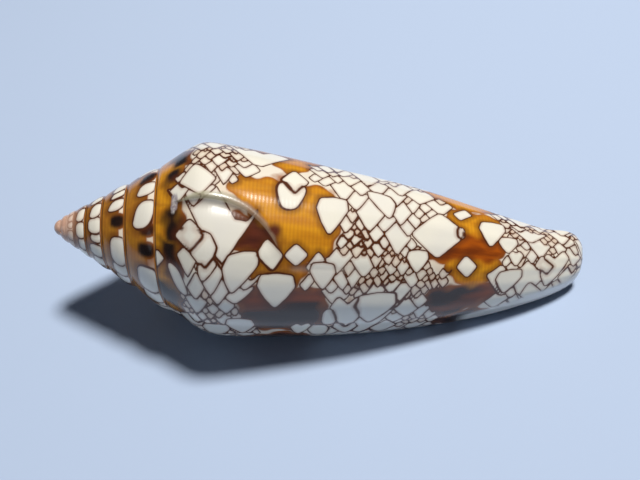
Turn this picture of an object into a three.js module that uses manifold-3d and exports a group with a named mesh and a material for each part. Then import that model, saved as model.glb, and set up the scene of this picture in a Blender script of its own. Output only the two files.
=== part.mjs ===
// Textile-marked cone shell, dextral, lying on its aperture.
// Units are millimetres and +Z is up. The apex points to -X and the narrow anterior end to +X.
// One piece: the shell grew as a single spiral tube, so it is one closed body in one node.
//
// The shape is written in coil coordinates: x along the coiling axis from the apex, r out from the
// axis, and t in turns back from the lip, so older shell has a larger t. Every whorl is the same
// profile, shrunk by WHORL_EXPANSION for each turn back.

import * as THREE from "three";
import Module from "manifold-3d";

// ---- Driving dimensions ----
const LENGTH = 65.0; // apex to anterior tip, along the coiling axis
const WHORL_EXPANSION = 1.38; // growth in size over one full turn
const LATE_GROWTH = 0.55; // growth rate at the lip, as a share of the early rate
const SUTURE_X = 15.1; // where the last suture would meet the lip, from the apex
const SPIRE_SLOPE = 0.6; // radius gained per mm along the spire (half-angle 31 degrees)
const SUTURE_DROP = 1.9; // how far the last suture turns down at the lip
const SUTURE_DROP_TURNS = 0.06; // over what share of a turn it does so
const RAMP_SLOPE = 0.6; // slope of the ramp just below a suture
const RAMP_CURVE = 0.045; // how fast the ramp steepens toward the shoulder
const SHOULDER_ROUND = 1.7; // rounding of the shoulder
const CORE_RADIUS = 0.9; // radius of the solid core (columella)
const BELLY_RADIUS = 12.0; // radius of the last whorl at the lip, where it is widest
const BELLY_X = 25.0; // where it is widest, from the apex
const SHOULDER_FALL = 0.5; // how much narrower it is 10 mm nearer the apex
const NOSE_REACH = 41.0; // from the widest place to where the closing curve would meet the axis
const NOSE_FULLNESS = 2.1; // 2 closes as an ellipse, more as a fuller curve
const LIP_TURNS = 0.115; // position of the lip, in turns up from the underside
const LIP_RECEDE = 0.05; // how far the lip falls back toward the anterior end, in turns
const WALL = 0.9; // thickness of the outer wall
const TIP_WALL = 0.4; // thickness at the anterior end
const CAVITY_TURNS = 0.62; // how far the hollow is followed into the shell
const APEX_RADIUS = 0.4; // the rounded first whorl
const TILT = 9.8; // apex up, so that the shell rests on its body and lip
const ROLL = -8.3; // turn about the coiling axis, for the same reason
const FLAT_CUT = 0.08; // depth of the small flats where the shell touches the surface

// ---- Growth rules ----
const clamp = (v, lo, hi) => Math.min(hi, Math.max(lo, v));

function smoothMin(a, b, k) {
  return 0.5 * (a + b - Math.sqrt((a - b) ** 2 + k * k));
}

// Radius of the last whorl at the lip: a shallow arc up to the belly, then one long closing curve.
function lipRadius(x) {
  if (x < BELLY_X) return BELLY_RADIUS - SHOULDER_FALL * ((BELLY_X - Math.max(x, 15)) / 10) ** 2;
  const u = (Math.min(x, LENGTH) - BELLY_X) / NOSE_REACH;
  return BELLY_RADIUS * (1 - u ** NOSE_FULLNESS) ** (1 / NOSE_FULLNESS);
}

// Size of the shell t turns back, as a share of its size at the lip.
function sizeAt(t) {
  const late = LATE_GROWTH * t + ((1 - LATE_GROWTH) * t * t) / 2;
  const early = (1 + LATE_GROWTH) / 2 + (t - 1);
  return WHORL_EXPANSION ** -(t < 1 ? late : early);
}

// Distance of the suture from the apex.
function sutureAt(t) {
  const drop = SUTURE_DROP * Math.exp(-Math.max(t - LIP_TURNS, -0.3) / SUTURE_DROP_TURNS);
  return SUTURE_X * sizeAt(t) + drop;
}

// The straight taper of the body, worn down to the core at the anterior end.
function taper(x) {
  return Math.sqrt(Math.max(10.9 - 0.265 * (x - 20), 0) ** 2 + 1);
}

// Side of the last whorl: the full outline at the lip, the half-turn outline, and one turn back.
function sideRadius(x, t) {
  const atLip = lipRadius(x);
  const half = 0.38 * atLip + 0.62 * taper(x);
  const turn = smoothMin(taper(x), 9.75, 1.2) + 0.9 * Math.exp(-(((x - 48) / 9) ** 2));
  const m = 0.62;
  const w0 = ((t - m) * (t - 1)) / m;
  const w1 = (t * (t - 1)) / (m * (m - 1));
  const w2 = (t * (t - m)) / (1 - m);
  return atLip * w0 + half * w1 + turn * w2;
}

// Outer radius of the whorl that is t turns old, whether or not a later one hides it.
function whorlRadius(x, t) {
  const recent = Math.min(t, 1);
  const size = sizeAt(t);
  const shrink = size / sizeAt(recent);
  const start = sutureAt(t);
  const q = (x - start) / size;
  if (q < -1) return -1;
  const rise = q > 0 ? RAMP_SLOPE * q + RAMP_CURVE * q * q : 1.6 * q;
  const ramp = SPIRE_SLOPE * start + size * rise;
  const side = sideRadius(Math.min(x / shrink, LENGTH), recent) * shrink;
  const core = q > 0 ? CORE_RADIUS * Math.min(1, 2 * size) : -1;
  return Math.max(smoothMin(ramp, side, SHOULDER_ROUND * size), core);
}

// Radius of the outside, where whorls of every age show.
function outerRadius(x, t) {
  const dome = x < 2 * APEX_RADIUS ? Math.sqrt(Math.max(0, APEX_RADIUS ** 2 - (x - APEX_RADIUS) ** 2)) : 0;
  let r = dome;
  for (let k = 0; k < 12; k += 1) r = Math.max(r, whorlRadius(x, t + k));
  return r;
}

// The lip runs nearly along the axis and falls back toward the anterior end.
function lipAt(x) {
  return LIP_TURNS + LIP_RECEDE * clamp((x - 36) / 22, 0, 1) ** 1.5;
}

// ---- Pose: coil coordinates to the row's frame ----
const tilt = THREE.MathUtils.degToRad(TILT);
const roll = THREE.MathUtils.degToRad(ROLL);

function place(x, r, t) {
  const angle = 2 * Math.PI * t;
  const y0 = -r * Math.sin(angle);
  const z0 = -r * Math.cos(angle);
  const x0 = x - LENGTH / 2;
  const y1 = y0 * Math.cos(roll) - z0 * Math.sin(roll);
  const z1 = y0 * Math.sin(roll) + z0 * Math.cos(roll);
  return [
    x0 * Math.cos(tilt) + z1 * Math.sin(tilt),
    y1,
    -x0 * Math.sin(tilt) + z1 * Math.cos(tilt),
  ];
}

// ---- Closed bodies from grids of points ----
const wasm = await Module();
wasm.setup();

// Rings of points, each closed around, with one point to close each end.
function closedTube(rings, capStart, capEnd) {
  const n = rings[0].length;
  const points = [capStart, ...rings.flat(), capEnd];
  const faces = [];
  const at = (i, j) => 1 + i * n + (j % n);
  for (let j = 0; j < n; j += 1) {
    faces.push([0, at(0, j + 1), at(0, j)]);
    for (let i = 0; i + 1 < rings.length; i += 1) {
      faces.push([at(i, j), at(i, j + 1), at(i + 1, j + 1)]);
      faces.push([at(i, j), at(i + 1, j + 1), at(i + 1, j)]);
    }
    faces.push([points.length - 1, at(rings.length - 1, j), at(rings.length - 1, j + 1)]);
  }
  const [a, b, c] = [0, 1, 2].map((k) => (face) => new THREE.Vector3(...points[face[k]]));
  const volume = faces.reduce((sum, face) => sum + a(face).dot(b(face).cross(c(face))), 0);
  const outward = volume > 0 ? faces : faces.map((face) => face.reverse());
  const mesh = new wasm.Mesh({
    numProp: 3,
    vertProperties: new Float32Array(points.flat()),
    triVerts: new Uint32Array(outward.flat()),
  });
  return new wasm.Manifold(mesh);
}

function mean(ring) {
  return [0, 1, 2].map((k) => ring.reduce((sum, p) => sum + p[k], 0) / ring.length);
}

// The outside: rings around the axis, with a step where the lip stands over the whorl before it.
const STATIONS = [
  0.12, 0.4, 0.8, 1.3, 1.9, 2.6, 3.4, 4.2, 5.0, 5.8, 6.6, 7.4, 8.2, 9.0, 9.8, 10.6, 11.4, 12.2, 13.0,
  13.8, 14.6, 15.4, 16.2, 17.0, 17.8, 18.6, 19.4, 20.4, 21.6, 23.0, 25.0, 27.5, 30.0, 33.0, 36.0, 39.0,
  42.0, 45.0, 48.0, 50.5, 53.0, 55.0, 57.0, 58.8, 60.4, 61.8, 63.0, 64.0, 64.7,
];
const AROUND = 60;
const STEP_TURNS = 0.008;

function outerRing(x) {
  const ring = [];
  for (let j = 0; j <= AROUND; j += 1) {
    const turn = (j / AROUND) * (1 - STEP_TURNS);
    const t = lipAt(x) + turn;
    const end = x > 64 ? Math.sqrt(1 - ((x - 64) / 1.0) ** 2) : 1;
    ring.push(place(x, Math.max(outerRadius(x, t) * end, 0.08), t));
  }
  return ring;
}

const body = closedTube(STATIONS.map(outerRing), place(0, 0, 0), place(LENGTH, 0, 0));

// The hollow behind the lip, between the outer wall and the whorl inside it.
const CAVITY_STEPS = 16;
const CAVITY_ALONG = 26;

function hollowRing(i) {
  const w = -0.03 + (CAVITY_TURNS + 0.03) * (i / CAVITY_STEPS);
  const inner = [];
  const outer = [];
  for (let j = 0; j <= CAVITY_ALONG; j += 1) {
    const start = sutureAt(LIP_TURNS + Math.max(w, 0)) + 2.2;
    const x = start + (LENGTH + 0.6 - start) * (j / CAVITY_ALONG);
    const reach = x > 50 ? 1 - (0.7 * (x - 50)) / (LENGTH + 0.6 - 50) : 1;
    const t = lipAt(x) + (w > 0 ? w * reach : w);
    const wall = WALL + (TIP_WALL - WALL) * clamp((x - 45) / 20, 0, 1);
    const floor = whorlRadius(x, t + 1) + 0.05;
    const roof = Math.max(whorlRadius(x, t) - wall, floor + 0.2);
    inner.push(place(x, floor, t));
    outer.push(place(x, roof, t));
  }
  return [...inner, ...outer.reverse()];
}

const hollowRings = Array.from({ length: CAVITY_STEPS + 1 }, (_, i) => hollowRing(i));
const hollow = closedTube(hollowRings, mean(hollowRings[0]), mean(hollowRings[CAVITY_STEPS]));

// ---- The shell, set down on its resting points ----
const hollowed = body.subtract(hollow);
const low = hollowed.boundingBox();
const slab = wasm.Manifold.cube([200, 200, 20], true).translate([0, 0, low.min[2] + FLAT_CUT - 10]);
const cut = hollowed.subtract(slab);
const box = cut.boundingBox();
const shell = cut.translate([
  -(box.min[0] + box.max[0]) / 2,
  -(box.min[1] + box.max[1]) / 2,
  -box.min[2],
]);

function toMesh(name, solid, color) {
  const mesh = solid.getMesh();
  const geometry = new THREE.BufferGeometry();
  geometry.setAttribute("position", new THREE.BufferAttribute(mesh.vertProperties, 3));
  geometry.setIndex(new THREE.BufferAttribute(mesh.triVerts, 1));
  geometry.computeVertexNormals();
  const out = new THREE.Mesh(geometry, new THREE.MeshStandardMaterial({ color, roughness: 0.3 }));
  out.name = name;
  return out;
}

const group = new THREE.Group();
group.add(toMesh("shell", shell, 0xe6e0cf));
export default group;
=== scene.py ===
# %% [markdown]
# # A tent-marked cone shell
# A cone shell is one long tube that its animal widened as it went, wound round a straight axis.
# This lesson builds it the way it grew: one rule gives the radius of the shell at every age, a
# Geometry Nodes tree winds a flat strip of mesh by that rule, and the colour pattern is laid down
# along the same growth lines. All sizes are in millimetres until the mesh is made, then in metres.

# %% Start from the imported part
import math

import bmesh
import bpy
import numpy as np
from mathutils import Matrix, Vector


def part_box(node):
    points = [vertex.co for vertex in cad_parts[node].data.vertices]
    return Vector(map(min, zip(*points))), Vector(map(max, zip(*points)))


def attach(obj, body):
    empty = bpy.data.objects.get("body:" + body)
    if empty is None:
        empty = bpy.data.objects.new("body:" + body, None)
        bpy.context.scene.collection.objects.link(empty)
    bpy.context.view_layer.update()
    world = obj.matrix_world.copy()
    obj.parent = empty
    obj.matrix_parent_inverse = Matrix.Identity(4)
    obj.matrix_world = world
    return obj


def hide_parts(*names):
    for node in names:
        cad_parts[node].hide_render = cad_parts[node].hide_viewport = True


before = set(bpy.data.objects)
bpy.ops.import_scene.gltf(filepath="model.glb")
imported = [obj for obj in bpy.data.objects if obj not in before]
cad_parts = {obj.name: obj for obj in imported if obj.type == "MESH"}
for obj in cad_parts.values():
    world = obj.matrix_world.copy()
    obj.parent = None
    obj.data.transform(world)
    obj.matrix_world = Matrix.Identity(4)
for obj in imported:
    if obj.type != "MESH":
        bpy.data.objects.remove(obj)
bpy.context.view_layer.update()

# %% [markdown]
# ## The camera
# The shell fills the middle of the picture, seen from about halfway between the side and the top.
# The camera stands close, so the near side swells a little. It goes in first, because the rest of
# the work is judged through it.

# %% Camera
MM = 0.001
camera_data = bpy.data.cameras.new("camera")
camera_data.sensor_width = 36.0
camera_data.lens = 41.1
camera = bpy.data.objects.new("camera", camera_data)
bpy.context.scene.collection.objects.link(camera)
bpy.context.scene.camera = camera

CAMERA_AT = Vector((4.2, -57.2, 75.5)) * MM
CAMERA_AIM = Vector((0.1, -1.1, 10.0)) * MM
CAMERA_ROLL = math.radians(-6.2)
look = (CAMERA_AT - CAMERA_AIM).to_track_quat("Z", "Y").to_matrix().to_4x4()
camera.matrix_world = Matrix.Translation(CAMERA_AT) @ look @ Matrix.Rotation(CAMERA_ROLL, 4, "Z")
camera_data.clip_start = 0.005
camera_data.clip_end = 10.0
print("camera distance in mm:", round((CAMERA_AT - CAMERA_AIM).length * 1000, 1))

# %% [markdown]
# ## Node trees as arithmetic
# Both the shape and the finish are formulas. A tree of Math nodes drawn one by one is hard to read,
# so one small class wraps a socket: adding, multiplying or comparing two of them adds the Math node
# that does it. Any other node comes from its `node` method.


# %% The wrapper
class Flow:
    """A number, vector or colour flowing through a node tree."""

    def __init__(self, tree, socket):
        self.tree = tree
        self.socket = socket

    def node(self, kind, settings=None, **inputs):
        """Adds a node: its settings first, then a value or link for each socket, by name or place."""
        made = self.tree.nodes.new(kind)
        for name, value in (settings or {}).items():
            if callable(value):
                value(made)
            else:
                setattr(made, name, value)
        for name, value in inputs.items():
            key = name.replace("_", " ")
            socket = made.inputs[int(name[1:])] if name[0] == "s" and name[1:].isdigit() else made.inputs[key]
            if isinstance(value, Flow):
                self.tree.links.new(value.socket, socket)
            else:
                socket.default_value = value
        return Made(self.tree, made)

    def math(self, operation, *others):
        made = self.tree.nodes.new("ShaderNodeMath")
        made.operation = operation
        for place, value in enumerate((self, *others)):
            if isinstance(value, Flow):
                self.tree.links.new(value.socket, made.inputs[place])
            else:
                made.inputs[place].default_value = value
        return Flow(self.tree, made.outputs[0])

    def swapped(self, operation, first):
        made = self.tree.nodes.new("ShaderNodeMath")
        made.operation = operation
        made.inputs[0].default_value = first
        self.tree.links.new(self.socket, made.inputs[1])
        return Flow(self.tree, made.outputs[0])

    def __add__(self, other):
        return self.math("ADD", other)

    __radd__ = __add__

    def __sub__(self, other):
        return self.math("SUBTRACT", other)

    def __rsub__(self, other):
        return self.swapped("SUBTRACT", other)

    def __mul__(self, other):
        return self.math("MULTIPLY", other)

    __rmul__ = __mul__

    def __truediv__(self, other):
        return self.math("DIVIDE", other)

    def __rtruediv__(self, other):
        return self.swapped("DIVIDE", other)

    def __pow__(self, other):
        return self.math("POWER", other)

    def __rpow__(self, other):
        return self.swapped("POWER", other)

    def __neg__(self):
        return self * -1.0

    def __abs__(self):
        return self.math("ABSOLUTE")

    def __gt__(self, other):
        return self.math("GREATER_THAN", other)

    def __lt__(self, other):
        return self.math("LESS_THAN", other)

    def least(self, other):
        return self.math("MINIMUM", other)

    def most(self, other):
        return self.math("MAXIMUM", other)

    def step(self, low, high):
        """0 below low, 1 above high, and smooth between."""
        made = self.node("ShaderNodeMapRange", {"interpolation_type": "SMOOTHSTEP", "clamp": True})
        made.link("Value", self)
        for name, value in (("From Min", low), ("From Max", high), ("To Min", 0.0), ("To Max", 1.0)):
            made.link(name, value)
        return made["Result"]


class Made:
    """A node that was just added, whose outputs are read by name."""

    def __init__(self, tree, made):
        self.tree = tree
        self.made = made

    def link(self, name, value):
        if isinstance(value, Flow):
            self.tree.links.new(value.socket, self.made.inputs[name])
        else:
            self.made.inputs[name].default_value = value

    def __getitem__(self, name):
        return Flow(self.tree, self.made.outputs[name])


def choose(share, first, second):
    """first where share is 0, second where it is 1, for numbers."""
    return first + (second - first) * share


print("node arithmetic ready")

# %% [markdown]
# ## The growth rule
# Age is counted in turns back from the lip. Each whorl is the same profile, smaller by a constant
# factor for each turn back, except that growth slowed in the last whorl, as it does in an adult. The
# profile has a short ramp under the suture, a rounded shoulder and a long side that tapers to the
# narrow end. These are the same numbers as the solid part, so the two agree.

# %% Sizes of the shell
LENGTH = 65.0
WHORL_EXPANSION = 1.38
LATE_GROWTH = 0.55
SUTURE_X = 15.1
SPIRE_SLOPE = 0.6
SUTURE_DROP = 1.9
SUTURE_DROP_TURNS = 0.06
RAMP_SLOPE = 0.6
RAMP_CURVE = 0.045
SHOULDER_ROUND = 1.7
CORE_RADIUS = 0.9
LIP_TURNS = 0.115
LIP_RECEDE = 0.05
WALL = 0.9
TIP_WALL = 0.4
TILT = 9.8
ROLL = -8.3
BELLY_RADIUS = 12.0
BELLY_X = 25.0
SHOULDER_FALL = 0.5
NOSE_REACH = 41.0
NOSE_FULLNESS = 2.1
FLAT_CUT = 0.08


def lip_radius(x):
    """Radius of the last whorl at the lip: a shallow arc up to the belly, then one closing curve."""
    x = np.asarray(x, float)
    u = np.clip((np.minimum(x, LENGTH) - BELLY_X) / NOSE_REACH, 0, None)
    before = np.clip(BELLY_X - np.maximum(x, 15), 0, None) / 10
    return BELLY_RADIUS * (1 - u**NOSE_FULLNESS) ** (1 / NOSE_FULLNESS) - SHOULDER_FALL * before**2


def smooth_least(a, b, k):
    return 0.5 * (a + b - ((a - b) ** 2 + k * k) ** 0.5)


def size_at(t):
    """Size of the shell t turns back, as a share of its size at the lip."""
    t = np.asarray(t, float)
    late = LATE_GROWTH * t + (1 - LATE_GROWTH) * t * t / 2
    early = (1 + LATE_GROWTH) / 2 + (t - 1)
    return WHORL_EXPANSION ** -np.where(t < 1, late, early)


def suture_at(t):
    """Distance of the suture from the apex."""
    drop = SUTURE_DROP * np.exp(-np.maximum(np.asarray(t) - LIP_TURNS, 0) / SUTURE_DROP_TURNS)
    return SUTURE_X * size_at(t) + drop


def lip_at(x):
    return LIP_TURNS + LIP_RECEDE * np.clip((np.asarray(x) - 36) / 22, 0, 1) ** 1.5


print("whorl sizes:", [round(float(size_at(t)), 3) for t in range(6)])

# %% [markdown]
# ## The flat strip
# The mesh starts as a flat pattern that says only who is next to whom: each vertex knows its age in
# turns, its row across the whorl, and whether it is on the outside or the inside of the wall. Rows
# of one whorl end on the first row of the whorl before it, which is the suture. Behind the lip the
# strip carries on under the roof of the last whorl, so the hollow is closed with no gaps.

# %% Rows and columns
COLUMNS = 300
SIDE_ROWS = 184
BAND_ROWS = [20, 13, 9, 7, 5, 4, 3, 3, 2, 2, 2]
HOLLOW_TURNS = 0.62
HOLLOW_COLUMNS = 62
ROOF_FIRST_ROW = 6
FLOOR_FIRST_ROW = 14
FLOOR_STEP = 3

flat = {"turn": [], "row": [], "inward": []}
faces = []


def vertex(turn, row, inward=0.0):
    """row runs 0 to 1 over the ramp, from suture to suture, and 1 to 2 over the side."""
    flat["turn"].append(turn)
    flat["row"].append(row)
    flat["inward"].append(inward)
    return len(flat["turn"]) - 1


def stitch(line_a, line_b):
    """Faces between two lines of vertices that need not have the same number."""
    i = j = 0
    while i < len(line_a) - 1 or j < len(line_b) - 1:
        ahead_a = (i + 1) / max(len(line_a) - 1, 1)
        ahead_b = (j + 1) / max(len(line_b) - 1, 1)
        level = len(line_a) == len(line_b)
        if level and i < len(line_a) - 1:
            corners = [line_a[i], line_a[i + 1], line_b[j + 1], line_b[j]]
            i, j = i + 1, j + 1
        elif j == len(line_b) - 1 or (i < len(line_a) - 1 and ahead_a <= ahead_b):
            corners = [line_a[i], line_a[i + 1], line_b[j]]
            i += 1
        else:
            corners = [line_a[i], line_b[j + 1], line_b[j]]
            j += 1
        corners = [c for n, c in enumerate(corners) if c not in corners[:n]]
        if len(corners) > 2:
            faces.append(corners)


def side_share(k):
    """Rows lie a little closer together at the shoulder."""
    s = k / SIDE_ROWS
    return 0.9 * s + 0.1 * s * s


def reach(s):
    """The hollow is shallower toward the narrow end."""
    return 1.0 - 0.7 * np.clip((s - 0.72) / 0.28, 0, 1)


bands = []
for band, rows in enumerate(BAND_ROWS):
    first = [[vertex(band + c / COLUMNS, j / rows) for j in range(rows)] for c in range(COLUMNS)]
    bands.append(first)

side = [[vertex(c / COLUMNS, 1 + side_share(k)) for k in range(SIDE_ROWS + 1)] for c in range(COLUMNS)]
foot = [bands[0][0][0]] + [vertex(1.0, 1 + side_share(k)) for k in range(1, SIDE_ROWS + 1)]


def band_line(band, column):
    """One column of a whorl's ramp, from its suture to the next one."""
    above = side[column][0] if band == 0 else bands[band - 1][column][0]
    return bands[band][column] + [above]


for band in range(len(BAND_ROWS)):
    for c in range(COLUMNS - 1):
        stitch(band_line(band, c), band_line(band, c + 1))
    if band + 1 < len(BAND_ROWS):
        stitch(band_line(band, COLUMNS - 1), band_line(band + 1, 0))
for c in range(COLUMNS - 1):
    stitch(side[c], side[c + 1])
stitch(side[COLUMNS - 1], foot)

# The apex: the last turn's suture is closed with a small fan.
last = len(BAND_ROWS) - 1
tip = vertex(last + 1.0, 0.0, -1.0)
apex_line = [bands[last][c][0] for c in range(COLUMNS)] + band_line(last, COLUMNS - 1)[1:]
for a, b in zip(apex_line, apex_line[1:] + apex_line[:1]):
    faces.append([a, b, tip])
print("outside:", len(flat["turn"]), "vertices")

# %% [markdown]
# ## The hollow and the lip
# The lip is a thin rounded edge. Inside it the wall's inner face, the roof, runs back round the
# axis for a little over half a turn, and the floor is the outside of the whorl before.

# %% Roof, floor and lip edge
roof_rows = list(range(ROOF_FIRST_ROW, SIDE_ROWS + 1, FLOOR_STEP))
if roof_rows[-1] != SIDE_ROWS:
    roof_rows.append(SIDE_ROWS)
depths = [HOLLOW_TURNS * (d / HOLLOW_COLUMNS) ** 1.3 for d in range(HOLLOW_COLUMNS + 1)]
roof = [[vertex(w * reach(side_share(k)), 1 + side_share(k), 1.0) for k in roof_rows] for w in depths]
floor_rows = [k for k in range(FLOOR_FIRST_ROW, SIDE_ROWS + 1, FLOOR_STEP)]
if floor_rows[-1] != SIDE_ROWS:
    floor_rows.append(SIDE_ROWS)
floor = [[vertex(1 + w * reach(side_share(k)), 1 + side_share(k)) for k in floor_rows] for w in depths[1:]]

lip_line = side[0][ROOF_FIRST_ROW:]
round_rows = range(ROOF_FIRST_ROW, SIDE_ROWS + 1)
lip_round = [[vertex(-0.0035, 1 + side_share(k), 0.22) for k in round_rows]]
lip_round.append([vertex(-0.0035, 1 + side_share(k), 0.7) for k in round_rows])
stitch(lip_line, lip_round[0])
stitch(lip_round[0], lip_round[1])
stitch(lip_round[1], roof[0])
for a, b in zip(roof[:-1], roof[1:]):
    stitch(a, b)
foot_line = foot[FLOOR_FIRST_ROW:]
stitch(foot_line, floor[0])
for a, b in zip(floor[:-1], floor[1:]):
    stitch(a, b)
stitch(roof[-1], floor[-1])
stitch([r[0] for r in roof], [foot_line[0]] + [f[0] for f in floor])

# The wall at the back end of the slit, where the lip joins the whorl before.
back_edge = bands[0][0] + side[0][: ROOF_FIRST_ROW + 1]
stitch(back_edge, foot[: FLOOR_FIRST_ROW + 1])
faces.append([back_edge[-1], lip_round[0][0], foot[FLOOR_FIRST_ROW]])
faces.append([lip_round[0][0], lip_round[1][0], foot[FLOOR_FIRST_ROW]])
faces.append([lip_round[1][0], roof[0][0], foot[FLOOR_FIRST_ROW]])

# The narrow end: the edge of the wall, then the end of the core.
outer_end = [column[-1] for column in side]
roof_end = [r[-1] for r in roof]
reach_end = int(round(HOLLOW_TURNS * float(reach(1.0)) * COLUMNS))
stitch([lip_round[1][-1]] + roof_end, [lip_round[0][-1]] + outer_end[: reach_end + 1])
core_ring = outer_end[reach_end:] + [foot[-1]] + [f[-1] for f in floor] + [roof_end[-1]]
core_tip = vertex(0.8, 2.0, -2.0)
for a, b in zip(core_ring, core_ring[1:] + core_ring[:1]):
    faces.append([a, b, core_tip])
print("all:", len(flat["turn"]), "vertices,", len(faces), "faces")

strip_mesh = bpy.data.meshes.new("shell")
strip_mesh.from_pydata([(0.0, 0.0, 0.0)] * len(flat["turn"]), [], faces)
for name, values in flat.items():
    strip_mesh.attributes.new(name, "FLOAT", "POINT").data.foreach_set("value", np.array(values, np.float32))
shell = bpy.data.objects.new("cone_shell", strip_mesh)
bpy.context.scene.collection.objects.link(shell)

# %% [markdown]
# ## Winding the strip
# A Geometry Nodes tree turns age and row into a place in space. It is the growth rule written in
# nodes, with every size as a named input, so the same tree would wind a stouter or a taller cone.
# The outline of the lip is a formula too: a shallow arc up to the belly, then one closing curve. The
# modifier's result is then turned into a plain mesh.

# %% The winding tree
tree = bpy.data.node_groups.new("wind a cone shell", "GeometryNodeTree")
tree.interface.new_socket("Geometry", in_out="INPUT", socket_type="NodeSocketGeometry")
INPUTS = {
    "Length": LENGTH,
    "Whorl expansion": WHORL_EXPANSION,
    "Late growth": LATE_GROWTH,
    "Suture position": SUTURE_X,
    "Spire slope": SPIRE_SLOPE,
    "Suture drop": SUTURE_DROP,
    "Ramp slope": RAMP_SLOPE,
    "Ramp curve": RAMP_CURVE,
    "Shoulder rounding": SHOULDER_ROUND,
    "Core radius": CORE_RADIUS,
    "Lip position": LIP_TURNS,
    "Lip recede": LIP_RECEDE,
    "Wall": WALL,
    "Tip wall": TIP_WALL,
    "Tilt": TILT,
    "Roll": ROLL,
}
input_ids = {}
for name, value in INPUTS.items():
    socket = tree.interface.new_socket(name, in_out="INPUT", socket_type="NodeSocketFloat")
    socket.default_value = value
    input_ids[name] = socket.identifier
material_input = tree.interface.new_socket("Material", in_out="INPUT", socket_type="NodeSocketMaterial")
tree.interface.new_socket("Geometry", in_out="OUTPUT", socket_type="NodeSocketGeometry")
entry = Made(tree, tree.nodes.new("NodeGroupInput"))
given = {name: entry[name] for name in INPUTS}
start = entry["Geometry"]


def stored(name):
    return start.node("GeometryNodeInputNamedAttribute", {"data_type": "FLOAT"}, Name=name)["Attribute"]


def flow_size(t):
    late = given["Late growth"] * t + (1 - given["Late growth"]) * t * t / 2
    early = (1 + given["Late growth"]) / 2 + (t - 1)
    return given["Whorl expansion"] ** -choose(t < 1.0, early, late)


def flow_suture(t):
    since_lip = (t - given["Lip position"]).most(0.0)
    drop = given["Suture drop"] * math.e ** -(since_lip / SUTURE_DROP_TURNS)
    return given["Suture position"] * flow_size(t) + drop


def flow_side(x, t):
    u = ((x.least(LENGTH) - BELLY_X) / NOSE_REACH).most(0.0)
    before = (BELLY_X - x.most(15.0)).most(0.0) / 10
    at_lip = BELLY_RADIUS * (1 - u ** NOSE_FULLNESS) ** (1 / NOSE_FULLNESS) - SHOULDER_FALL * before ** 2.0
    taper = ((10.9 - 0.265 * (x - 20)).most(0.0) ** 2.0 + 1.0) ** 0.5
    half = 0.38 * at_lip + 0.62 * taper
    swell = 0.9 * math.e ** -(((x - 48) / 9) * ((x - 48) / 9))
    turn = smooth_least(taper, 9.75, 1.2) + swell
    m = 0.62
    return (
        at_lip * ((t - m) * (t - 1) / m)
        + half * (t * (t - 1) / (m * (m - 1)))
        + turn * (t * (t - m) / (1 - m))
    )


def flow_whorl(x, t):
    recent = t.least(1.0)
    size = flow_size(t)
    shrink = size / flow_size(recent)
    begin = flow_suture(t)
    q = ((x - begin) / size).most(0.0)
    ramp = given["Spire slope"] * begin + size * (given["Ramp slope"] * q + given["Ramp curve"] * q * q)
    side_radius = flow_side((x / shrink).least(given["Length"]), recent) * shrink
    core = given["Core radius"] * (2 * size).least(1.0)
    return smooth_least(ramp, side_radius, given["Shoulder rounding"] * size).most(core)


turn, row, inward = stored("turn"), stored("row"), stored("inward")
t0 = given["Lip position"] + turn
begin = flow_suture(t0)
node = flow_suture(t0 - 1)
on_ramp = row.least(1.0)
on_side = (row - 1).most(0.0)
END_ROUND = 1.1
x = begin + (node - begin) * on_ramp + (given["Length"] - 0.15 - node) * on_side
recede = given["Lip recede"] * ((x - 36) / 22).most(0.0).least(1.0) ** 1.5
t = t0 + recede
radius = flow_whorl(x, t)
end_round = 1 - (1 - ((x - (LENGTH - END_ROUND)) / END_ROUND).most(0.0) ** 2.0).most(0.0) ** 0.5
wall = given["Wall"] + (given["Tip wall"] - given["Wall"]) * ((x - 45) / 20).most(0.0).least(1.0)
wall = wall * ((x - 17) / 2.5).most(0.35).least(1.0)
radius = radius - 0.45 * end_round * (inward < 0.5) - inward.most(0.0) * wall
radius = choose(inward < -0.5, radius, 0.0 * radius)
x = choose((inward < -0.5) * (inward > -1.5), x, 0.22 + 0 * x)
x = choose(inward < -1.5, x, LENGTH - 0.05 + 0 * x)
angle = t * (2 * math.pi)
around = angle.math("SINE")
below = angle.math("COSINE")
middle_x = given["Length"] / 2
spot = start.node("ShaderNodeCombineXYZ", X=x - middle_x, Y=-(radius * around), Z=-(radius * below))
turned = start.node("ShaderNodeVectorRotate", {"rotation_type": "X_AXIS"}, Vector=spot["Vector"],
                    Angle=given["Roll"] * (math.pi / 180))
tilted = start.node("ShaderNodeVectorRotate", {"rotation_type": "Y_AXIS"}, Vector=turned["Vector"],
                    Angle=given["Tilt"] * (math.pi / 180))
in_metres = start.node("ShaderNodeVectorMath", {"operation": "SCALE"}, Vector=tilted["Vector"], Scale=MM)
wound = start.node("GeometryNodeSetPosition", Geometry=start, Position=in_metres["Vector"])["Geometry"]
for name, value in (("along", x), ("age", t), ("radius", radius)):
    store = wound.node("GeometryNodeStoreNamedAttribute", {"data_type": "FLOAT", "domain": "POINT"},
                       Geometry=wound, Name=name, Value=value)
    wound = store["Geometry"]
real = wound.node("GeometryNodeRealizeInstances", Geometry=wound)["Geometry"]
finished = real.node("GeometryNodeSetMaterial", Geometry=real, Material=entry["Material"])["Geometry"]
leave = Made(tree, tree.nodes.new("NodeGroupOutput"))
leave.link("Geometry", finished)
print("winding tree:", len(tree.nodes), "nodes")

# %% Wind it
porcelain = bpy.data.materials.new("tent-marked porcelain")
modifier = shell.modifiers.new("wind", "NODES")
modifier.node_group = tree
for name, value in INPUTS.items():
    modifier[input_ids[name]] = value
modifier[material_input.identifier] = porcelain
bpy.context.view_layer.update()
wound_mesh = bpy.data.meshes.new_from_object(shell.evaluated_get(bpy.context.evaluated_depsgraph_get()))
shell.modifiers.clear()
shell.data = wound_mesh


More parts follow.
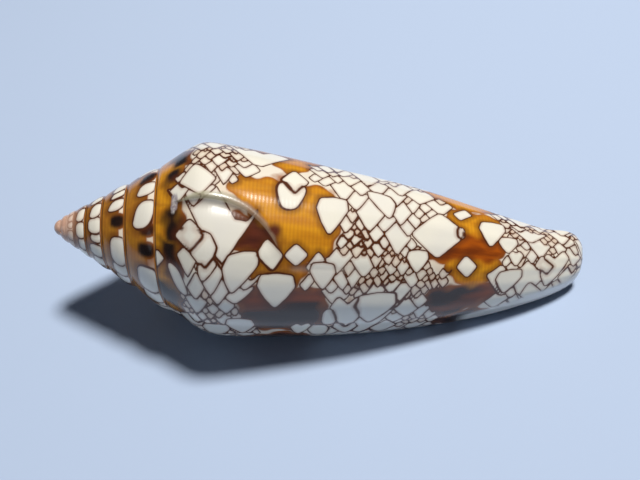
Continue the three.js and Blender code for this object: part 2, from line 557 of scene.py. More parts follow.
def read(name, mesh):
    values = np.zeros(len(mesh.vertices), np.float32)
    mesh.attributes[name].data.foreach_get("value", values)
    return values.astype(float)


def places(mesh):
    values = np.zeros(len(mesh.vertices) * 3)
    mesh.vertices.foreach_get("co", values)
    return values.reshape(-1, 3)


co = places(wound_mesh)
print("wound box in mm:", (co.min(0) / MM).round(2), (co.max(0) / MM).round(2))

# %% [markdown]
# ## Wall relief and the healed break
# This animal's lip broke once and it went on building from inside the break. The old edge is left
# standing as a smooth pale ridge that leaves the shoulder and bends down the side, and the shell made
# after it starts a little lower. The vertices are moved in and out along the radius by their distance
# from that line, so the ridge is real shape. The growth lines, which are much finer, are left to bump.

# %% The line of the break
BREAK_FROM = (16.0, 0.42)  # x and turn where the break leaves the shoulder
BREAK_TO = (28.5, 0.32)  # and where it dies out
BREAK_BEND = 4  # it runs nearly straight, then bends down more and more sharply
RIDGE_LENGTH = 11.5
SEAM_TURN = BREAK_TO[1]
SEAM_END = 38.0


def break_turn(x):
    u = np.clip((np.asarray(x, float) - BREAK_FROM[0]) / (BREAK_TO[0] - BREAK_FROM[0]), 0, 1)
    return BREAK_FROM[1] + (BREAK_TO[1] - BREAK_FROM[1]) * u**BREAK_BEND


BREAK_LINE = [(float(x), float(break_turn(x))) for x in np.linspace(BREAK_FROM[0], BREAK_TO[0], 20)]


def girth_at(x):
    """Distance once round the shell, near enough for laying out the pattern."""
    return 2 * math.pi * smooth_least(0.66 * np.asarray(x, float), 0.96 * lip_radius(x), 1.5)


def path_distance(points, x, t):
    """Distance in mm to a path, the side it is on (1 toward older shell), and how far along, 0 to 1."""
    best = np.full(len(x), 1e9)
    side_sign = np.ones(len(x))
    share = np.zeros(len(x))
    girth = girth_at(x)
    for n in range(len(points) - 1):
        (ax, at), (bx, bt) = points[n], points[n + 1]
        ex, ey = bx - ax, (bt - at) * girth
        px, py = x - ax, (t - at) * girth
        along = np.clip((px * ex + py * ey) / (ex * ex + ey * ey), 0, 1)
        gap = np.hypot(px - along * ex, py - along * ey)
        nearer = gap < best
        best = np.where(nearer, gap, best)
        side_sign = np.where(nearer, np.sign(ex * py - ey * px + 1e-9), side_sign)
        share = np.where(nearer, (n + along) / (len(points) - 1), share)
    return best, side_sign, share


def ease(value, low, high):
    share = np.clip((value - low) / (high - low), 0, 1)
    return share * share * (3 - 2 * share)


along = read("along", wound_mesh)
age = read("age", wound_mesh)
inner = read("inward", wound_mesh)
outside = (inner > -0.5) & (inner < 0.2)
turns = read("turn", wound_mesh)
rows_share = read("row", wound_mesh)
ONE_TURN_AND_EDGE = 1.02  # the last whorl, with the strip that its lip edge stands on
last_whorl = outside & ((turns < 1.0) | ((turns < ONE_TURN_AND_EDGE) & (rows_share > 1.0)))
gap, older, share = path_distance(BREAK_LINE, along, age)
above = gap * older
ridge_share = np.clip((along - BREAK_FROM[0]) / RIDGE_LENGTH, 0, 1)
ridge_width = np.clip(np.sin(math.pi * ridge_share), 0, 1) ** 0.6 * (age > 0.34)
RIDGE_HEIGHT, STEP_DEPTH, SEAM_DEPTH = 0.20, 0.30, 0.03
fade = ease(share, -0.02, 0.04) * (1 - 0.65 * ease(share, 0.77, 0.92))
fade = fade * (1 - ease(share, 0.93, 1.0)) * (gap < 9)
crest = (above - ridge_width / 2) / (0.45 * ridge_width + 0.15)
ridge = RIDGE_HEIGHT * ease(ridge_width, 0, 1) * np.exp(-(crest**2))
step_down = -STEP_DEPTH * np.exp(-np.maximum(-above, 0) / 2.6) * ease(-above, -0.12, 0.22)
seam_gap = np.abs(age - SEAM_TURN) * girth_at(along)
seam_span = ease(along, 28.5, 29.5) * (1 - ease(along, SEAM_END - 3, SEAM_END))
seam = -SEAM_DEPTH * np.exp(-((seam_gap / 0.22) ** 2)) * seam_span
waves = 0.03 * np.sin(age * 61 + 1.3 * np.sin(along * 0.16)) + 0.02 * np.sin(age * 143 + along * 0.11)
show_side = np.exp(-(((age - 0.52) / 0.12) ** 2))
SWELLS = ((0.8, 63.6, 2.4), (0.35, 44, 7), (0.35, 15.5, 2.2))  # height, middle and half width
swell = sum(height * np.exp(-(((along - middle) / wide) ** 2)) for height, middle, wide in SWELLS)
relief = np.where(last_whorl, (ridge + step_down) * fade + seam + waves * ease(along, 15, 18), 0.0)
relief = relief + swell * show_side * (turns < 1.0)

# The spire whorls bulge between their sutures, and the worn apex is blunt.
radius_mm = read("radius", wound_mesh)
on_spire = outside & (rows_share <= 1.0)
bulge = 0.25 * np.sin(math.pi * np.clip(rows_share, 0, 1)) ** 0.8 - 0.10 * (1 - ease(rows_share, 0, 0.12))
relief = relief + np.where(on_spire & (turns >= 1), bulge * size_at(turns - 0.6), 0.0)
relief = np.where(on_spire & (turns < 1) & (rows_share == 0), -0.08, relief)

plain_low, plain_high = co.min(0), co.max(0)
tilt = math.radians(TILT)
axis = np.array([math.cos(tilt), 0.0, -math.sin(tilt)])
out = co - np.outer(co @ axis, axis)
out /= np.maximum(np.linalg.norm(out, axis=1), 1e-9)[:, None]
co = co + out * (relief * MM)[:, None]
APEX_END = 1.15
APEX_DOME = 1.0
centre = axis * (APEX_END + APEX_DOME - LENGTH / 2) * MM
near_apex = (along < APEX_END + APEX_DOME) & (inner < 0.2)
from_centre = co[near_apex] - centre
far = np.linalg.norm(from_centre, axis=1) / (APEX_DOME * MM)
co[near_apex] = centre + from_centre / np.maximum(far, 1.0)[:, None]
box_low, box_high = (np.array(corner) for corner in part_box("shell"))
middle_y = (box_low[1] + box_high[1] - plain_low[1] - plain_high[1]) / 2
shift = np.array([box_high[0] - co[:, 0].max(), middle_y, box_low[2] - plain_low[2] - FLAT_CUT * MM])
co = co + shift
co[:, 2] = np.maximum(co[:, 2], 0.0)
wound_mesh.vertices.foreach_set("co", co.ravel())
print("relief from", relief.min().round(3), "to", relief.max().round(3), "mm; shift", (shift / MM).round(3))

# %% Faces outward, and a check that the skin is closed
work = bmesh.new()
work.from_mesh(wound_mesh)
bmesh.ops.recalc_face_normals(work, faces=work.faces)
if work.calc_volume(signed=True) < 0:
    bmesh.ops.reverse_faces(work, faces=work.faces)
open_edges = sum(1 for edge in work.edges if len(edge.link_faces) != 2)
print("open edges:", open_edges, "volume in mm3:", round(work.calc_volume() * 1e9))
work.to_mesh(wound_mesh)
work.free()
wound_mesh.shade_smooth()
print("triangles:", sum(len(p.vertices) - 2 for p in wound_mesh.polygons))

# %% [markdown]
# ## Laying out the tents
# The white tents of this shell are gaps in a net of brown lines. Each is drawn as an outline on the
# unrolled shell, then turned into a signed distance at every vertex, positive inside. A distance
# blends cleanly across a face, so the finish can draw a line finer than the faces are. Touching
# tents go in different layers, because one layer could not show the line between them.

# %% Layers of signed distance
REACH = 1.5
LETTERS = "abcdefgh"
LAYERS = len(LETTERS)
layer = np.full((LAYERS, len(along)), -REACH)
small_cell = np.zeros(len(along))
placed = []
target = np.nonzero(last_whorl)[0]
target_x, target_t = along[target], age[target]
order = np.argsort(target_t, kind="stable")
target, target_x, target_t = target[order], target_x[order], target_t[order]


def rounded(points, cuts=(0.2, 0.25)):
    """Cuts the corners of a closed outline, by a share of each side at each pass."""
    points = np.array(points, float)
    for cut in cuts:
        after = np.roll(points, -1, axis=0)
        pairs = np.stack([(1 - cut) * points + cut * after, cut * points + (1 - cut) * after], 1)
        points = pairs.reshape(-1, 2)
    return points


def outline_distance(edge, x, y):
    """Signed distance from a closed outline, positive inside."""
    best = np.full(len(x), 1e9)
    inside = np.zeros(len(x), bool)
    for (ax, ay), (bx, by) in zip(edge, np.roll(edge, -1, axis=0)):
        ex, ey = bx - ax, by - ay
        px, py = x - ax, y - ay
        part = np.clip((px * ex + py * ey) / (ex * ex + ey * ey + 1e-12), 0, 1)
        best = np.minimum(best, (px - part * ex) ** 2 + (py - part * ey) ** 2)
        crosses = (ay > y) != (by > y)
        inside ^= crosses & (x < ax + ex * (y - ay) / (ey if ey else 1e-12))
    best = np.sqrt(best)
    return np.where(inside, best, -best)


def near(t, edge):
    """Vertices of the last whorl that an outline at that age can touch, and their place in mm."""
    girth = girth_at(np.array([edge[:, 0].mean()]))[0]
    low = np.searchsorted(target_t, t + (edge[:, 1].min() - REACH) / girth)
    high = np.searchsorted(target_t, t + (edge[:, 1].max() + REACH) / girth)
    x = target_x[low:high]
    keep = (x > edge[:, 0].min() - REACH) & (x < edge[:, 0].max() + REACH)
    rows = target[low:high][keep]
    return rows, x[keep], (target_t[low:high][keep] - t) * girth_at(x[keep])


LEAST_UNCOVERED = 0.3  # the share of a small tent that must show between the large ones


def stamp(t, edge, small=0.0):
    """Puts one tent on top of what is there. The outline is x in mm, and mm round the shell from t."""
    rows, x, y = near(t, edge)
    if not len(rows):
        return
    distance = outline_distance(edge, x, y)
    own = rows[distance > 0]
    if uncovered[own].sum() < LEAST_UNCOVERED * len(own):
        return
    middle = (edge[:, 0].mean(), t * girth_at(edge[:, 0].mean()) + edge[:, 1].mean())
    lay(middle, np.ptp(edge, axis=0).max(), rows, distance, small)


def cut_in(rows, distance, mine):
    """Cuts the new tent out of every layer, then adds it to its own."""
    for number in range(LAYERS):
        cut = np.minimum(layer[number, rows], -distance)
        layer[number, rows] = np.maximum(cut, distance) if number == mine else cut


def lay(middle, size, rows, distance, small):
    """Writes a distance into the layer where its neighbours are fewest, and cuts it from the others."""
    crowd = np.zeros(LAYERS)
    if placed:
        others = np.array(placed)
        apart = np.maximum(abs(others[:, 0] - middle[0]), abs(others[:, 1] - middle[1]))
        room = (size + others[:, 2]) / 2 + 0.9 - apart
        crowd = np.bincount(others[:, 3].astype(int), np.maximum(room, 0), LAYERS)
    mine = int(np.argmin(crowd))
    placed.append((middle[0], middle[1], size, mine))
    cut_in(rows, distance, mine)
    small_cell[rows[distance > -0.1]] = small


print("vertices to mark:", len(target))

# %% [markdown]
# ## Tents, large and small
# Two brown bands run round the shell, and dark blotches stand along the shoulder. The large tents are
# laid in courses, one course after another down the shell, and a draw of chance gives each one its
# outline, size and lean or leaves its place empty. Everything between them is filled by a second
# rule: the front of growth moves forward, and where it lags most the next tent is put, as one scale
# of a fish is laid over the gap between two others.

# %% Outlines a tent can have, in halves of its length and height
OUTLINES = {
    "scale": [(-1, 0.35), (-0.85, 0.9), (0, 1), (0.85, 0.9)]
    + [(1, 0.3), (0.55, -0.4), (0, -1.05), (-0.55, -0.4)],
    "diamond": [(-1.05, -0.05), (-0.1, 1.05), (1.05, 0.05), (0.1, -1.05)],
    "heart": [(-1, 0.5), (-0.6, 1), (0, 0.55), (0.6, 1), (1, 0.5), (0.55, -0.4), (0, -1.1), (-0.55, -0.4)],
    "sack": [(-1, 0.4), (-0.7, 1), (0.7, 1), (1, 0.4), (0.5, -0.9), (-0.5, -0.9)],
    "long": [(-1, 0.6), (-0.6, 1), (0.6, 1), (1, 0.6), (1, -0.6), (0.4, -1), (-0.5, -1), (-1, -0.6)],
    "block": [(-1, -1), (-1, 1), (1, 1), (1, -1)],
}


SOFT_CORNERS, SHARP_CORNERS = (0.2, 0.25), (0.07, 0.22)


def outline(shape, length, height, lean=0.0, rise=0.0):
    """A tent in mm: lean moves its older end toward the narrow end, rise lifts its narrow-end side."""
    unit = np.array(OUTLINES[shape], float)
    x = unit[:, 0] * length / 2 + unit[:, 1] * lean / 2
    y = unit[:, 1] * height / 2 + unit[:, 0] * rise / 2
    soft = shape in ("sack", "long")
    return rounded(np.stack([x, y], 1), SOFT_CORNERS if soft else SHARP_CORNERS)


# %% Bare patches and dark blotches: colour, shape, x, turn, length, height, lean, rise
BANDS = ((28.5, 8.5, 5.6), (49.5, 8.5, 4.6))  # middle, length and usual height of a patch
SHOULDER_X = 15.5
BLOTCH_PITCH = 0.075
DARK_BELOW = 0.29  # nearer the lip than this the bands are darkest
FIRST_TURN, LAST_TURN = 0.16, 1.10

lay_out = np.random.default_rng(23)
PATCHES = []
for turn in np.arange(FIRST_TURN, LAST_TURN, BLOTCH_PITCH):
    for middle, long, wide in BANDS:
        if lay_out.random() < 0.85:
            colour = "umber" if turn < DARK_BELOW else "amber" if lay_out.random() < 0.2 else "ochre"
            shape = ("block", "diamond", "scale")[lay_out.integers(3)]
            place = (middle + lay_out.normal(0, 1.0), turn + lay_out.normal(0, 0.012))
            size = (long * lay_out.uniform(0.7, 1.3), wide * lay_out.uniform(0.7, 1.2))
            PATCHES.append((colour, shape, *place, *size, lay_out.normal(0.5, 0.8), 0))
    place = (SHOULDER_X + lay_out.normal(0.6, 0.5), turn + lay_out.normal(0, 0.01))
    PATCHES.append(("black", "block", *place, lay_out.uniform(1.2, 2.6), lay_out.uniform(1.8, 4.4), -0.6, 0))
    PATCHES.append(("ochre", "block", SHOULDER_X - 1.8, turn + 0.03, 2.4, lay_out.uniform(2.4, 5.0), 0.4, 0))
# A dark stain lies under the healed break.
STAIN_X = 24.5
PATCHES.append(("maroon", "block", STAIN_X, float(break_turn(STAIN_X)) - 0.03, 6.0, 3.2, 0, -1.2))

# %% Large tents, laid in courses
COURSE_PITCH = 3.1
COURSE_SIZE = 2.5
EMPTY, EMPTY_IN_FINE_NET = 0.45, 0.85
KINDS = ("scale", "diamond", "heart", "sack", "long")
KIND_SHARES = (0.40, 0.32, 0.10, 0.08, 0.10)
FINE_BANDS = ((20.0, 4.0, 1.0), (42.0, 7.5, 1.0), (56.0, 5.0, 1.2))  # middle, half width, half a tent
SLOW_WAVE = 3  # how often the fine net comes and goes in one turn


def fine_half(x, t):
    """Half the length of a fine tent here, or None where the net is not fine."""
    if math.sin(2 * math.pi * SLOW_WAVE * t + 0.2 * x) < -0.1:
        return None
    return next((half for middle, wide, half in FINE_BANDS if abs(x - middle) < wide), None)


TENTS = []
for course in np.arange(17.5, 63.5, COURSE_PITCH):
    turn = FIRST_TURN + lay_out.uniform(0, 0.03)
    while turn < LAST_TURN:
        length = COURSE_SIZE * lay_out.lognormal(0, 0.32)
        height = length * lay_out.uniform(0.95, 1.45)
        empty = EMPTY_IN_FINE_NET if fine_half(course, turn) else EMPTY
        kind = KINDS[lay_out.choice(len(KINDS), p=KIND_SHARES)]
        lean = lay_out.normal(0, 0.25) * length
        if kind == "long":
            length *= 0.5
        if lay_out.random() > empty:
            TENTS.append((kind, course + lay_out.normal(0, 0.6), turn, length, height, lean, lean / 2))
        turn += height * lay_out.uniform(1.0, 1.3) / float(girth_at(course))

rng = np.random.default_rng(7)
print(len(PATCHES), "patches,", len(TENTS), "large tents")

# %% Colour of the patches
COLOURS = ("ochre", "amber", "maroon", "umber", "black")
patch = {colour: np.zeros(len(along)) for colour in COLOURS}
patch_outlines = []
for colour, shape, x, t, length, height, lean, rise in PATCHES:
    edge = outline(shape, length, height, lean, rise) + (x, 0)
    patch_outlines.append((t, edge))
    rows, px, py = near(t, edge)
    wander = 0.35 * np.sin(px * 2.3 + t * 40) * np.sin(py * 1.9 + x)
    amount = ease(outline_distance(edge, px, py) + wander, -0.9, 0.5)
    patch[colour][rows] = np.maximum(patch[colour][rows], amount)


def in_patch(x, t):
    for turn_middle, edge in patch_outlines:
        y = (t - turn_middle) * girth_at(x)
        if abs(y) < 8 and outline_distance(edge, np.array([x]), np.array([y]))[0] > -0.15:
            return True
    return False


# %% How far each vertex is inside each large tent
large = sorted(TENTS, key=lambda tent: tent[2])
spread = np.full((len(large), len(along)), -9.0, np.float32)
for number, (shape, x, t, length, height, lean, rise) in enumerate(large):
    edge = outline(shape, length, height, lean, rise) + (x, 0)
    rows, px, py = near(t, edge)
    spread[number, rows] = outline_distance(edge, px, py)
uncovered = spread.max(0) < -0.25
print("vertices clear of the large tents:", int(uncovered[target].sum()))

# %% The filling rule
STEP = 0.1
line_x = np.arange(10.0, 65.4, STEP)
front = 1.14 + 0.012 * np.sin(line_x * 1.7)
tents = []
while front.max() > 0.10 and len(tents) < 4000:
    here = int(np.argmax(front))
    x0, t0 = line_x[here], front[here]
    girth = float(girth_at(x0))
    half = 1.75
    half = min(half, fine_half(x0, t0) or half)
    if half > 1.5 and rng.random() < 0.2:
        half *= 1.5
    if x0 < 16 or x0 > 57:
        half *= 0.8
    half *= rng.lognormal(0, 0.28)
    tall = half * rng.uniform(1.1, 1.9) / girth
    power = rng.uniform(0.95, 1.3)
    lean = rng.normal(0, 0.15) * half
    off = line_x - x0 - lean
    reach_here = np.where(off < 0, half * rng.uniform(0.8, 1.2), half * rng.uniform(0.8, 1.2))
    new = t0 - tall + np.abs(off / reach_here) ** power * tall
    cover = (new < front) & (np.abs(line_x - x0) < half * 2.2)
    low = here
    while low > 0 and cover[low - 1]:
        low -= 1
    high = here
    while high < len(line_x) - 1 and cover[high + 1]:
        high += 1
    pick = np.unique(np.linspace(low, high, 8).round().astype(int))
    if len(pick) > 2:
        foot_y = (new[pick] - t0) * girth
        head_y = (front[pick] - t0) * girth + 0.1
        ring_x = np.concatenate([line_x[pick], line_x[pick][::-1]])
        ring_y = np.concatenate([foot_y, head_y[::-1]])
        tents.append((t0, np.stack([ring_x, ring_y], 1), half))
    front[low : high + 1] = np.minimum(front[low : high + 1], new[low : high + 1])
print("filled with", len(tents), "tents")

RAMP_END, RAMP_BARE = 15.2, (0.3, 0.56)  # the ramp is plain ochre between these turns
for t, edge, half in reversed(tents):
    middle_x, middle_t = edge[:, 0].mean(), t + edge[:, 1].mean() / girth_at(edge[:, 0].mean())
    tip = edge[int(edge[:, 1].argmin())]
    on_ramp = middle_x < RAMP_END and RAMP_BARE[0] < middle_t < RAMP_BARE[1]
    tip_in_patch = in_patch(tip[0], t + (tip[1] + 0.3) / girth_at(tip[0]))
    if not (in_patch(middle_x, middle_t) or tip_in_patch or on_ramp):
        stamp(t, edge, float(np.clip((1.5 - half) / 0.9, 0, 1)))

# %% The large tents on top, grown a little until they meet
GROW = 0.26
first = spread.argmax(0)
best = np.minimum(spread.max(0), 0.0)
without = spread.copy()
without[first, np.arange(len(along))] = -9.0
second = np.minimum(without.max(0), 0.0)
for number, (shape, x, t, length, height, lean, rise) in enumerate(large):
    rows = np.nonzero(spread[number] > -REACH - 0.4)[0]
    mine = spread[number, rows]
    rival = np.where(first[rows] == number, second[rows], best[rows])
    meeting = np.minimum(mine + GROW, (mine - rival) / 2 + 0.02)
    lay((x, t * girth_at(x)), max(length, height), rows, meeting, 0.0)

# %% [markdown]
# ## The spire
# On the spire only a narrow strip of each whorl shows. Its half next to the older suture is plain
# ochre and the other half carries one row of tents, which lean where they cross the shoulder. The
# first whorls are worn and have only pale bars.

# %% Tents of the spire whorls
suture_gap = np.full(len(along), 9.0)
SLANT = 1.17  # mm along the spire's slope for each mm along the axis


def spire_mark(kind, band_rows, up, across, edge, girth_size):
    """Puts one tent or dark blotch on a spire whorl; up is mm from the suture, across from the mark."""
    nearby = np.abs(across) < girth_size + 1.5
    index, distance = band_rows[nearby], outline_distance(edge, up[nearby], across[nearby])
    if kind == "black":
        patch["black"][index] = np.maximum(patch["black"][index], ease(distance, -0.35, 0.25))
        return
    placed.append((-99.0, 0.0, 0.0, 0))
    cut_in(index, distance, len(placed) % 3)


for whorl in range(len(BAND_ROWS)):
    here = outside & (turns >= whorl) & (turns < whorl + 1) & (rows_share < 1)
    begin = suture_at(LIP_TURNS + turns[here])
    pitch = (suture_at(LIP_TURNS + turns[here] - 1) - begin) * SLANT
    up = (along[here] - begin) * SLANT
    suture_gap[here] = np.minimum(up, pitch - up) if whorl else up
    if whorl == 0:
        continue
    index = np.nonzero(here)[0]
    spot_t = age[here]
    by_age = np.argsort(spot_t)
    t = whorl + LIP_TURNS + 0.01
    while t < whorl + 1.0 + LIP_TURNS:
        size = float(size_at(t))
        width = float(suture_at(t - 1) - suture_at(t)) * SLANT
        girth = 2 * math.pi * float(np.interp(t, spot_t[by_age], radius_mm[here][by_age]))
        frac = (t - whorl) % 1.0
        tall = 2.7 * size ** 0.7 * rng.lognormal(0, 0.25)
        lean = (1.5 if 0.40 < frac < 0.66 else 0.1) * size * rng.uniform(0.6, 1.2)
        length = width * rng.uniform(0.55, 0.72) * (1.25 if whorl > 2 else 1) - abs(lean) * 0.3
        middle = width * 1.02 - length / 2 - abs(lean) * 0.3
        dark = rng.random() > 0.84
        edge = outline("long", length * (0.8 if dark else 1), tall * (0.7 if dark else 1), lean) + (middle, 0)
        spire_mark("black" if dark else "tent", index, up, (spot_t - t) * girth, edge, tall)
        t += tall * rng.uniform(0.96, 1.06) / girth
    worn = 1 - 0.9 * ease(turns[here], 3.6, 5.2)
    stain = ease(0.8 - rows_share[here], 0, 0.25) * 0.9 * worn
    patch["ochre"][here] = np.maximum(patch["ochre"][here], stain)
ramp = outside & (turns < 1) & (rows_share < 1)
patch["ochre"][ramp] = np.maximum(patch["ochre"][ramp], ease(0.75 - rows_share[ramp], 0, 0.2))
print("tents in all:", len(placed))

# %% Attributes the finish reads
CHIP_AT = BREAK_FROM  # a flake is lost where the break leaves the shoulder
layer = np.clip(layer, -REACH, REACH)
plain = np.where((inner > 0.1) | ((turns >= ONE_TURN_AND_EDGE) & (rows_share > 1.0)), 1.0, 0.0)
from_lip = (age - lip_at(along)) * girth_at(along)
plain = np.maximum(plain, ease(along, 49, 51) * (1 - ease(from_lip, 2.0, 3.0)) * (inner < 0.3))
plain = np.where(inner <= -0.5, 0.0, plain)
across_chip = (age - CHIP_AT[1]) * girth_at(along) / 1.3
attributes = {
    "small_cell": small_cell,
    "above_break": np.where(last_whorl, np.clip(above, -2, 2), -2.0),
    "ridge_width": ridge_width * last_whorl,
    "plain": plain,
    "suture_gap": np.minimum(suture_gap, 3.0),
    "healed": seam_span * np.exp(-((seam_gap / 0.35) ** 2)) * last_whorl,
    "chip": np.exp(-(((along - CHIP_AT[0]) / 0.42) ** 2) - across_chip**2) * last_whorl,
    "break_fade": fade * last_whorl,
}
attributes.update(patch)
attributes.update({"tent_" + letter: layer[number] for number, letter in enumerate(LETTERS)})
for name, values in attributes.items():
    wound_mesh.attributes.new(name, "FLOAT", "POINT").data.foreach_set("value", values.astype(np.float32))
print("attributes:", ", ".join(attributes))

# %% [markdown]
# ## Porcelain with a printed net
# The surface of a cone is dense and polished, so it has a sharp coat-like gloss over a clear pattern.
# The finish reads the distances: white where any tent is positive, dark brown where one is near zero,
# and the patch colours elsewhere. Fine threads run round the shell in the patches and growth bands run
# along it. The growth lines are a shallow bump.


# %% Finish
def paint(red, green, blue):
    """A screen colour as the linear one a shader wants."""
    shares = [c / 255 for c in (red, green, blue)]
    linear = [((c + 0.055) / 1.055) ** 2.4 if c > 10 / 255 else c / 12.92 for c in shares]
    return tuple(linear) + (1.0,)


porcelain.use_nodes = True
shade = porcelain.node_tree
shade.nodes.clear()
root = Flow(shade, None)


def painted(name):
    return root.node("ShaderNodeAttribute", {"attribute_name": name})["Fac"]


def mix(share, first, second):
    """Mixes two colours."""
    made = root.node("ShaderNodeMix", {"data_type": "RGBA"})
    made.made.inputs["Factor"].default_value = 0.0
    for socket, value in ((0, share), (6, first), (7, second)):
        if isinstance(value, Flow):
            shade.links.new(value.socket, made.made.inputs[socket])
        else:
            made.made.inputs[socket].default_value = value
    return Flow(shade, made.made.outputs[2])


where = root.node("ShaderNodeTexCoord")["Object"]
level = root.node("ShaderNodeMapping", {}, Vector=where, Rotation=(0.0, -math.radians(TILT), 0.0))["Vector"]


def noise(size, detail=3.0, stretch=1.0):
    """Noise with that size in mm, drawn out along the shell."""
    scaled = root.node("ShaderNodeMapping", {}, Vector=level, Scale=(1.0 / stretch, 1.0, 1.0))["Vector"]
    made = root.node("ShaderNodeTexNoise", {}, Vector=scaled, Scale=1000.0 / size, Detail=detail)
    return Flow(shade, made.made.outputs[0])


tent_fields = [painted("tent_" + letter) for letter in LETTERS]
white_field = tent_fields[0]
line_field = abs(tent_fields[0])
for field in tent_fields[1:]:
    white_field = white_field.most(field)
    line_field = line_field.least(abs(field))
wobble = (noise(1.1) - 0.5) * 0.10
is_white = (white_field + wobble * 0.5).step(-0.05, 0.06)
heavy = noise(4.5).step(0.52, 0.66)
line = 1.0 - (line_field + wobble - heavy * 0.07).step(0.02, 0.14)
halo = (1.0 - (line_field + wobble).step(0.1, 0.42)) * 0.30

CREAM = paint(236, 231, 216)
CELL = paint(214, 190, 163)
LINE = paint(80, 40, 18)
NET_GROUND = paint(156, 88, 34)
RUST = paint(150, 80, 40)
cloudy = noise(7.0)
white = mix(painted("small_cell") * 0.75, mix(cloudy.step(0.35, 0.7), CREAM, paint(228, 224, 214)), CELL)
white = mix(halo, white, RUST)

threads = (painted("along") * (2 * math.pi / 0.42) + noise(2.0) * 3.0).math("SINE") * 0.5 + 0.5
growth = noise(1.3, 4.0, 14.0)
broad_growth = noise(3.2, 2.0, 12.0)
ochre = mix(growth.step(0.35, 0.65) * 0.6, paint(216, 148, 28), paint(180, 108, 20))
ochre = mix(threads * 0.16, ochre, paint(120, 66, 22))
ochre = mix(broad_growth.step(0.58, 0.72) * 0.6, ochre, paint(110, 62, 50))
amber = mix(growth.step(0.35, 0.65), paint(166, 80, 10), paint(116, 50, 8))
maroon = mix(growth.step(0.3, 0.7), paint(94, 44, 28), paint(60, 26, 18))
umber = mix(broad_growth.step(0.40, 0.60), paint(124, 56, 14), paint(40, 21, 12))
black = mix(growth.step(0.3, 0.7), paint(42, 24, 16), paint(24, 15, 12))
bare = painted("ochre").most(painted("amber")).most(painted("maroon"))
bare = bare.most(painted("umber")).most(painted("black"))
bare = bare.step(0.02, 0.30)
between = mix(cloudy.step(0.35, 0.7), paint(232, 223, 207), paint(222, 205, 184))
ground = mix(bare.most(heavy * 0.85), between, NET_GROUND)
ochre = mix(painted("turn").step(0.9, 1.0) * 0.45, ochre, paint(128, 84, 36))
ground = mix(painted("ochre"), ground, ochre)
ground = mix(painted("amber"), ground, amber)
ground = mix(painted("maroon"), ground, maroon)
ground = mix(painted("umber"), ground, umber)
ground = mix(painted("black"), ground, black)
edge_dark = (1.0 - (-white_field).step(0.1, 0.9)) * 0.55 * bare
ground = mix(edge_dark, ground, paint(84, 40, 18))
skin = mix(is_white, ground, white)
skin = mix(line, skin, LINE)
suture = 1.0 - painted("suture_gap").step(0.03, 0.16)
skin = mix(suture * 0.85, skin, paint(70, 44, 26))
above_break = painted("above_break")
# Painted shade: a dark brown band along the foot of the break's step, just below the ridge, where the step
# would be in shadow.
ridge_step_shade = above_break.step(-1.3, -0.2) * (1.0 - above_break.step(-0.06, 0.1)) * painted("break_fade")
skin = mix(ridge_step_shade * 0.45, skin, paint(60, 32, 20))
skin = mix(painted("healed") * 0.18, skin, paint(214, 206, 194))
chip = (painted("chip") + (noise(0.8) - 0.5) * 0.5).step(0.30, 0.60)
skin = mix(chip * 0.8, skin, mix(noise(0.6).step(0.4, 0.6), paint(150, 142, 150), paint(204, 200, 196)))
band = painted("ridge_width")
worn = above_break.step(-0.05, 0.1) * (1.0 - (above_break - band + (noise(1.6) - 0.5) * 1.0).step(-0.35, 0.2))
worn = worn * band.step(0.05, 0.3)
worn_paint = mix(growth.step(0.35, 0.65), paint(178, 174, 148), paint(138, 132, 108))
worn_paint = mix(noise(0.45).step(0.58, 0.68) * 0.5, worn_paint, paint(84, 66, 50))
worn_paint = mix(painted("along").step(20.5, 24.5) * 0.85, worn_paint, paint(134, 104, 84))
skin = mix(worn * 0.85, skin, worn_paint)
apex_tint = 1.0 - painted("along").step(2.4, 5.0)
skin = mix(apex_tint * 0.85, skin, paint(212, 170, 148))
skin = mix(painted("plain"), skin, mix(cloudy.step(0.3, 0.7), paint(228, 226, 220), paint(212, 208, 200)))

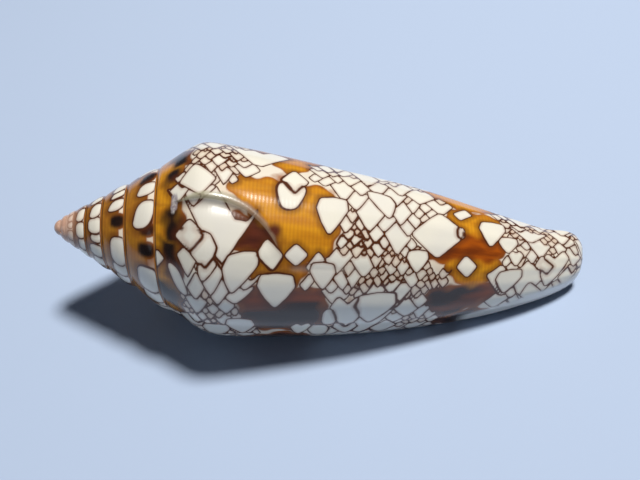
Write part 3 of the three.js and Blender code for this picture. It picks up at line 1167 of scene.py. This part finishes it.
height = growth * 0.6 + noise(0.5, 2.0, 9.0) * 0.25 + threads * 0.10
bump = root.node("ShaderNodeBump", {}, Strength=0.35, Distance=0.00006, Height=height)["Normal"]
roughness = 0.12 + worn * 0.14 + noise(2.5) * 0.12
surface = root.node("ShaderNodeBsdfPrincipled", {}, s0=skin, Roughness=roughness, Normal=bump)
surface.made.inputs["Coat Weight"].default_value = 0.25
surface.made.inputs["Coat Roughness"].default_value = 0.05
surface.made.inputs["IOR"].default_value = 1.52
surface_out = root.node("ShaderNodeOutputMaterial", {})
surface_out.link("Surface", surface["BSDF"])
print("finish:", len(shade.nodes), "nodes")

# %% [markdown]
# ## Stage
# A plain pale floor, one broad lamp high above and a little behind for the shadow under the shell,
# and a weak even light from all round that keeps the underside readable.

# %% Floor and light
floor_mesh = bpy.data.meshes.new("floor")
FLOOR_HALF = 1.5
FLOOR_Z = -0.00001
corners = [(x * FLOOR_HALF, y * FLOOR_HALF, FLOOR_Z) for x, y in ((-1, -1), (1, -1), (1, 1), (-1, 1))]
floor_mesh.from_pydata(corners, [], [(0, 1, 2, 3)])
floor = bpy.data.objects.new("floor", floor_mesh)
bpy.context.scene.collection.objects.link(floor)
floor_paint = bpy.data.materials.new("pale floor")
floor_paint.use_nodes = True
floor_paint.node_tree.nodes["Principled BSDF"].inputs["Base Color"].default_value = paint(176, 193, 220)
floor_paint.node_tree.nodes["Principled BSDF"].inputs["Roughness"].default_value = 0.85
floor_mesh.materials.append(floor_paint)


def lamp(name, at, aim, size, watts, colour):
    data = bpy.data.lights.new(name, "AREA")
    data.shape = "DISK"
    data.size = size
    data.energy = watts
    data.color = colour
    made = bpy.data.objects.new(name, data)
    made.location = at
    made.rotation_euler = (Vector(at) - Vector(aim)).to_track_quat("Z", "Y").to_euler()
    bpy.context.scene.collection.objects.link(made)
    return made


lamp("key", (0.12, 0.09, 0.55), (0, 0, 0.01), 0.12, 3.9, (1.0, 0.97, 0.92))
lamp("side", (-0.35, -0.35, 0.35), (0, 0, 0.01), 0.30, 0.09, (0.86, 0.92, 1.0))
world = bpy.data.worlds.new("even light")
world.use_nodes = True
world.node_tree.nodes["Background"].inputs["Color"].default_value = (0.72, 0.82, 1.0, 1.0)
world.node_tree.nodes["Background"].inputs["Strength"].default_value = 0.065
bpy.context.scene.world = world
bpy.context.scene.view_settings.view_transform = "Standard"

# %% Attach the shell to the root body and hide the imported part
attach(shell, "root")
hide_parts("shell")
